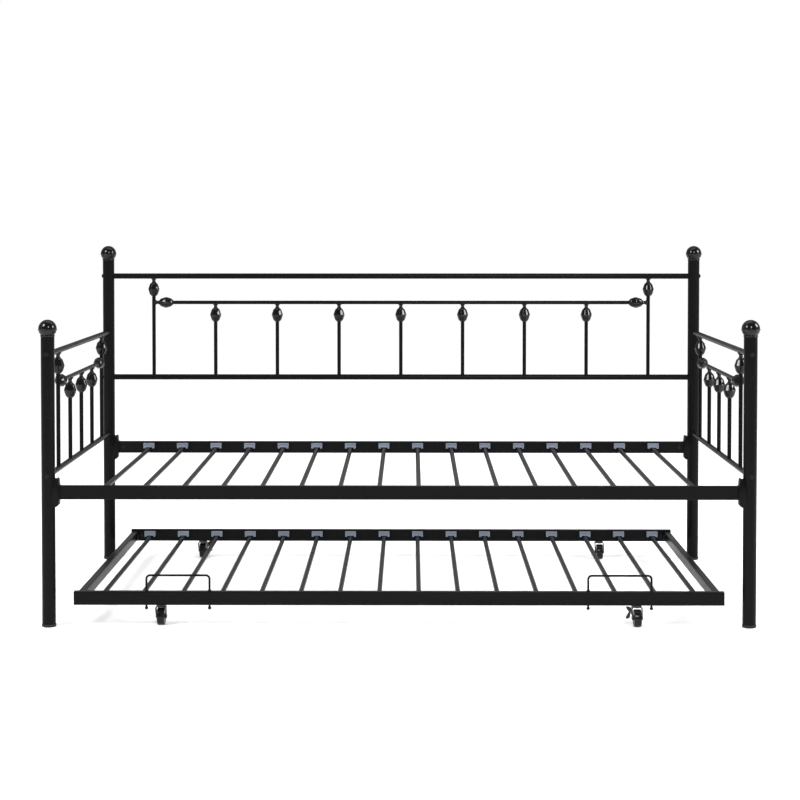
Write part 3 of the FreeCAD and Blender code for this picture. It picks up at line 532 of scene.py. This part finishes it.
# %% Make and place the ball tops
BALL_R = 25.5 * MM
BALL_LIFT = 22.0 * MM       # the ball's centre above the end of the tube
BALL_SIDES, BALL_RINGS = 64, 40
SEAM = [
    (18.4, 24.6), (18.9, 26.2), (19.2, 26.8), (19.7, 27.0),
    (20.3, 27.0), (20.8, 26.8), (21.1, 26.2), (21.6, 24.6)]
COLLAR = [
    (-24.0, 17.3), (-0.02, 17.3), (0.0, 19.4), (0.5, 20.0), (1.3, 20.3),
    (3.2, 20.3), (4.0, 19.9), (4.5, 18.6), (5.4, 17.0)]


def make_ball_top():
    """Ball, seam and collar; z = 0 is the end of the post's tube."""
    only()
    bpy.ops.mesh.primitive_uv_sphere_add(segments=BALL_SIDES, ring_count=BALL_RINGS,
                                         radius=BALL_R, location=(0, 0, BALL_LIFT))
    ball = bpy.context.active_object
    settle(ball)
    seam = lift_rings(in_metres(SEAM), BALL_SIDES, "seam")
    collar = lift_rings(in_metres(COLLAR), BALL_SIDES, "collar")
    for part in (ball, seam, collar):
        smooth(part, angle=45)
    return join([ball, seam, collar], "ball_top")


ball_top = make_ball_top()
tops = []
for low, high in solid_boxes("finials"):
    centre = (low + high) / 2
    tops.append(Matrix.Translation((centre.x, centre.y, high.z - BALL_LIFT - BALL_R)))
piece = copies(ball_top, tops, "ball_tops")
hand_over(piece, "finials")
bpy.data.objects.remove(ball_top)
print(piece.name, len(tops), "tops")

# %% [markdown]
# ## Blocks, cuts and softened copies
# The moulded clips start as boxes, and what is hollow in them is cut out with a second box. The
# pressed and folded steel pieces have the right shape already, but a pressed edge is never sharp:
# a bend or a dip in powder leaves a radius that shows as a thin light line. Those pieces are copied
# from the frame, their loose facets are merged into flat faces, and their edges are then rounded.

# %% Make a block, cut with it, and soften a copy
FLAT_WITHIN = 0.4           # facets that turn less than this, in degrees, are one face


def block(name, size, middle):
    """Box of a given size round a point."""
    only()
    bpy.ops.mesh.primitive_cube_add(size=1, location=middle, scale=size)
    piece = bpy.context.active_object
    piece.name = name
    settle(piece)
    return piece


def carve(piece, cutter):
    """Cut one mesh out of another."""
    modifier = piece.modifiers.new("cut", "BOOLEAN")
    modifier.operation = "DIFFERENCE"
    modifier.solver = "EXACT"
    modifier.object = cutter
    apply_modifiers(piece)
    bpy.data.objects.remove(cutter)


def softened(node, name, width, angle=32):
    """Copy of a frame node whose facets are merged and whose sharp edges are rounded."""
    piece = bpy.data.objects.new(name, NODES[node].data.copy())
    piece.data.name = name
    bpy.context.scene.collection.objects.link(piece)
    only(piece)
    bpy.ops.object.mode_set(mode="EDIT")
    bpy.ops.mesh.select_all(action="SELECT")
    bpy.ops.mesh.remove_doubles(threshold=SAME_POINT)
    bpy.ops.mesh.dissolve_limited(angle_limit=math.radians(FLAT_WITHIN))
    bpy.ops.object.mode_set(mode="OBJECT")
    bevel_edges(piece, width, angle, clamp=False)
    smooth(piece, angle=38)
    hand_over(piece, node)
    return piece


print("block, carve and softened ready")

# %% [markdown]
# ## Slat clips
# A moulded clip sits over each end of each slat. Its front is a shallow tray between two end lips,
# and its underside has a tapered notch that the slat passes through. The lips catch the light and
# the tray stays darker, which is what makes the clips look moulded and not cut from bar.

# %% Model one clip
CLIP = Vector((36, 13, 17)) * MM
CLIP_EDGE = 0.5 * MM
NOTCH_LOW, NOTCH_HIGH, NOTCH_TALL = 26 * MM, 21 * MM, 3.4 * MM
LIP = 3.2 * MM
TRAY_DEPTH = 1.1 * MM


def make_clip():
    """Clip against a wall at y = 0, reaching along +Y; z = 0 is its top."""
    clip = block("clip", CLIP, (0, CLIP.y / 2, -CLIP.z / 2))
    notch = block("notch", (NOTCH_LOW, 2 * CLIP.y, 2 * NOTCH_TALL), (0, CLIP.y / 2, -CLIP.z))
    for face in notch.data.polygons:
        looks_up = face.normal.z > 0.9
        face.select = looks_up
    only(notch)
    bpy.ops.object.mode_set(mode="EDIT")
    bpy.ops.mesh.select_mode(type="FACE")
    bpy.ops.transform.resize(value=(NOTCH_HIGH / NOTCH_LOW, 1, 1))
    bpy.ops.object.mode_set(mode="OBJECT")
    carve(clip, notch)
    tray = (CLIP.x - 2 * LIP, 2 * TRAY_DEPTH, CLIP.z - NOTCH_TALL - 2 * LIP)
    carve(clip, block("tray", tray, (0, CLIP.y, -(CLIP.z - NOTCH_TALL) / 2)))
    bevel_edges(clip, CLIP_EDGE, angle=20)
    smooth(clip, angle=35)
    return clip


clip = make_clip()
print("clip with", len(clip.data.polygons), "faces")

# %% Put a clip at each holder
PEG_REACH = 6 * MM          # how far the holder's peg goes into its rail

for layer in ("deck", "trundle"):
    node = layer + "_slat_holders"
    boxes = solid_boxes(node)
    middle_y = sum((low.y + high.y) / 2 for low, high in boxes) / len(boxes)
    placings = []
    for low, high in boxes:
        behind = low.y > middle_y
        wall = high.y - PEG_REACH if behind else low.y + PEG_REACH
        turn = Matrix.Rotation(math.pi if behind else 0, 4, "Z")
        placings.append(Matrix.Translation(((low.x + high.x) / 2, wall, high.z)) @ turn)
    piece = copies(clip, placings, layer + "_slat_clips")
    hand_over(piece, node)
    print(piece.name, len(placings), "clips")
bpy.data.objects.remove(clip)

# %% [markdown]
# ## Casters
# The casters are small black nylon wheels in a sheet-steel fork. A wheel is turned from rings like
# the ornaments, with a hub that stands out, a web set back from the rim, and a tread that is round
# at its edges. The forks, the levers and the rivets are softened copies.

# %% Turn the wheels
WHEEL_SIDE = [
    (-12.6, 3.4), (-12.6, 6.0), (-12.1, 6.5), (-9.8, 6.7), (-9.5, 7.1), (-9.5, 16.8), (-9.8, 17.3),
    (-10.3, 17.6), (-10.5, 18.1), (-10.5, 21.4), (-10.3, 22.4), (-9.7, 23.3), (-8.8, 23.85), (-7.9, 24.0)]
WHEEL = WHEEL_SIDE + [(-height, radius) for height, radius in reversed(WHEEL_SIDE)]
TREAD_SIDES = 48
FORK_EDGE = 0.35 * MM
RIVET_EDGE = 0.25 * MM
LEVER_EDGE = 0.5 * MM
CORNERS = ("front_left", "front_right", "back_left", "back_right")
BRAKED_CORNERS = ("front_right", "back_left")

wheel = lift_rings(in_metres(WHEEL), TREAD_SIDES, "wheel")
smooth(wheel, angle=50)
for corner in CORNERS:
    node = "caster_" + corner + "_wheel"
    low, high = solid_boxes(node)[0]
    across = Matrix.Translation((low + high) / 2) @ Matrix.Rotation(math.pi / 2, 4, "Y")
    piece = copies(wheel, [across], "nylon_wheel_" + corner)
    hand_over(piece, node)
    softened("caster_" + corner + "_fork", "pressed_fork_" + corner, FORK_EDGE)
    softened("caster_" + corner + "_axle", "rivet_" + corner, RIVET_EDGE)
bpy.data.objects.remove(wheel)
for corner in BRAKED_CORNERS:
    softened("brake_lever_" + corner, "moulded_lever_" + corner, LEVER_EDGE, angle=20)
print(len(CORNERS), "wheels with forks,", len(BRAKED_CORNERS), "levers")

# %% [markdown]
# ## Pressed brackets, plugs and folded corners
# The brackets that carry the deck are pressed from sheet, so their outline is round at every
# corner. The plastic plugs in the ends of the trundle's rails and the folded angles in its corners
# get the same treatment, each with the radius that its own process leaves.

# %% Soften the sheet-metal and moulded pieces
EDGE_RADII = [
    ("rail_brackets", "pressed_brackets", 0.8),
    ("trundle_end_plugs", "moulded_end_plugs", 0.5),
    ("trundle_corner_brackets", "folded_corners", 0.5),
    ("foot_plugs", "moulded_feet", 0.4),
    ("caster_stems", "turned_stems", 0.3),
    ("mattress_stop_nuts", "turned_stop_nuts", 0.3)]

for node, name, radius in EDGE_RADII:
    piece = softened(node, name, radius * MM)
    print(piece.name, len(piece.data.polygons), "faces")

# %% [markdown]
# ## Weld beads
# The brackets are welded to their posts before the coat goes on. A weld is a rope of small
# puddles, each frozen on the edge of the last, so its thickness rises and falls about every two
# millimetres. A straight bead is drawn as rings of two radii in turn. It runs down each side of a
# bracket, where the bracket meets its post.

# %% Lay a bead down both sides of each bracket
BEAD_LENGTH = 34 * MM
BEAD_STEP = 1.0 * MM
BEAD_RADII = (1.5 * MM, 1.9 * MM)
BEAD_TIP = BEAD_RADII[0] * 0.45
BEAD_SIDES = 10
POST_RADIUS = 19 * MM
POST_FROM_MIDDLE = 0.975    # metres from the middle of the bed to a post's axis


def make_bead():
    """Upright rippled bead, centred on the origin."""
    rings = [(-BEAD_LENGTH / 2, BEAD_TIP)]
    for step in range(1, int(BEAD_LENGTH / BEAD_STEP)):
        rings.append((-BEAD_LENGTH / 2 + step * BEAD_STEP, BEAD_RADII[step % 2]))
    rings.append((BEAD_LENGTH / 2, BEAD_TIP))
    bead = lift_rings(rings, BEAD_SIDES, "bead")
    smooth(bead, angle=60)
    return bead


bead = make_bead()
placings = []
for low, high in solid_boxes("rail_brackets"):
    post_x = math.copysign(POST_FROM_MIDDLE, low.x)
    inward = -math.copysign(1, low.x)
    for y in (low.y, high.y):
        across = y - (low.y + high.y) / 2
        beside = math.sqrt(POST_RADIUS ** 2 - across ** 2)
        placings.append(Matrix.Translation((post_x + inward * beside, y, (low.z + high.z) / 2)))
bracket_welds = copies(bead, placings, "bracket_weld_beads")
put_finish(bracket_welds, SLOT_OF["rail_brackets"])
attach(bracket_welds, BODY_OF["rail_brackets"])
bpy.data.objects.remove(bead)
print(len(placings), "weld beads")

# %% [markdown]
# ## The floor
# The bed stands on a plain white floor, wide enough that its edge is never seen. The floor has no
# shine, so no grey line shows far off where a shiny floor would mirror the room. Its colour is a
# little darker in mirrored rays than seen directly, so that it does not turn the undersides of
# black balls and tubes grey.

# %% Floor
FLOOR_RADIUS = 40
FLOOR_SIDES = 96
SEEN_FLOOR = (1.0, 1.0, 1.0)
MIRRORED_FLOOR = (0.75, 0.75, 0.75)


def make_floor_paint():
    """Shineless white that looks darker in mirrored rays."""
    paint = bpy.data.materials.new("pale floor")
    paint.use_nodes = True
    tree = paint.node_tree
    shader = tree.nodes["Principled BSDF"]
    shader.inputs["Roughness"].default_value = 0.7
    shader.inputs["Specular IOR Level"].default_value = 0.0
    mirrored = tree.nodes.new("ShaderNodeLightPath").outputs["Is Glossy Ray"]
    colour = mix_colour(tree, mirrored, SEEN_FLOOR, MIRRORED_FLOOR)
    tree.links.new(colour, shader.inputs["Base Color"])
    return paint


bpy.ops.mesh.primitive_circle_add(vertices=FLOOR_SIDES, radius=FLOOR_RADIUS, fill_type="NGON",
                                  location=(0, 0, 0))
floor = bpy.context.active_object
floor.name = "floor"
floor.data.materials.append(make_floor_paint())
print("floor", tuple(round(size) for size in floor.dimensions))

# %% [markdown]
# ## The surroundings
# Black paint shows what is around it more than its own colour. In a studio the pale backdrop is
# behind the product and the room in front is dark, so the faces that look forward stay black while
# the tops, seen at a grazing angle, mirror the backdrop. The world does the same: pale towards the
# back and dark towards the front. Only mirrored rays see the difference, so the backdrop and the
# light that falls on the floor stay even.

# %% Pale behind, dark in front
BACKDROP_LEVEL = 1.0
DIM_BACKDROP = 0.62         # how much darker the backdrop is in reflections
DARK_ROOM = 0.34            # how much darker still the room in front is
TURN_TO_DARK = 0.35         # how far each side of straight up the change is spread
world = bpy.data.worlds.new("studio")
bpy.context.scene.world = world
world.use_nodes = True
studio = world.node_tree
backdrop = studio.nodes["Background"]
backdrop.inputs["Color"].default_value = (1, 1, 1, 1)
direction = studio.nodes.new("ShaderNodeSeparateXYZ")
studio.links.new(studio.nodes.new("ShaderNodeTexCoord").outputs["Generated"], direction.inputs[0])
in_front = ramp(studio, direction.outputs["Y"], low=TURN_TO_DARK, high=-TURN_TO_DARK)
darkening = math_node(studio, "MULTIPLY", in_front, DARK_ROOM)
darkening = math_node(studio, "ADD", darkening, DIM_BACKDROP)
mirrored = studio.nodes.new("ShaderNodeLightPath").outputs["Is Glossy Ray"]
darkening = math_node(studio, "MULTIPLY", darkening, mirrored)
level = math_node(studio, "SUBTRACT", BACKDROP_LEVEL, darkening)
studio.links.new(level, backdrop.inputs["Strength"])
print("surroundings", world.name)

# %% [markdown]
# ## The light
# The pale surroundings give the even light. Lamps are there for the highlights: three boxes, in
# front and high at each side, put a bright spot each on every ball and lift the rails' faces. A
# weak panel overhead draws along the tops of the tubes, and two weak upright strips draw down the
# sides of the posts.

# %% Lights
PANELS = [
    # name, place, aim, width and height, watts
    ("overhead_panel", (0, 0.2, 3.6), (0, 0, 0.4), (3.4, 1.2), 18),
    ("front_box", (0.7, -4.2, 2.6), (0, 0, 0.8), (0.9, 1.3), 65),
    ("left_box", (-3.0, -2.1, 3.2), (-0.3, 0, 0.8), (1.3, 1.5), 130),
    ("right_box", (3.6, -0.7, 2.5), (0.3, 0, 0.8), (1.3, 1.5), 120),
    ("left_strip", (-3.8, -1.6, 1.5), (0, 0, 0.6), (0.4, 2.2), 4),
    ("right_strip", (3.8, -1.6, 1.5), (0, 0, 0.6), (0.4, 2.2), 4)]


def panel_light(name, place, target, size, power):
    """Soft rectangular light aimed at a point."""
    lamp = bpy.data.lights.new(name, "AREA")
    lamp.shape = "RECTANGLE"
    lamp.size, lamp.size_y = size
    lamp.energy = power
    holder = bpy.data.objects.new(name, lamp)
    holder.location = place
    holder.rotation_euler = (Vector(target) - Vector(place)).to_track_quat("-Z", "Y").to_euler()
    bpy.context.scene.collection.objects.link(holder)


for panel in PANELS:
    panel_light(*panel)
bpy.context.scene.view_settings.view_transform = "Standard"
print(len(PANELS), "lights")

# %% [markdown]
# ## The camera
# The camera stands well back with a long lens, just above the height of the bed, and looks almost
# level. A vertical shift of the lens brings the bed into the frame without tipping the camera, so
# the posts stay upright.

# %% Camera
EYE = (0.0347, -5.4177, 1.1270)
LOOKS_DOWN = 1.637          # degrees below level
LOOKS_LEFT = 0.362          # degrees left of straight ahead
lens = bpy.data.cameras.new("camera")
lens.lens = 79.93
lens.sensor_width = 36
lens.shift_y = -0.159
camera = bpy.data.objects.new("camera", lens)
camera.location = EYE
camera.rotation_euler = (math.radians(90 - LOOKS_DOWN), 0, math.radians(LOOKS_LEFT))
bpy.context.scene.collection.objects.link(camera)
bpy.context.scene.camera = camera
print("camera", tuple(round(value, 3) for value in camera.location))
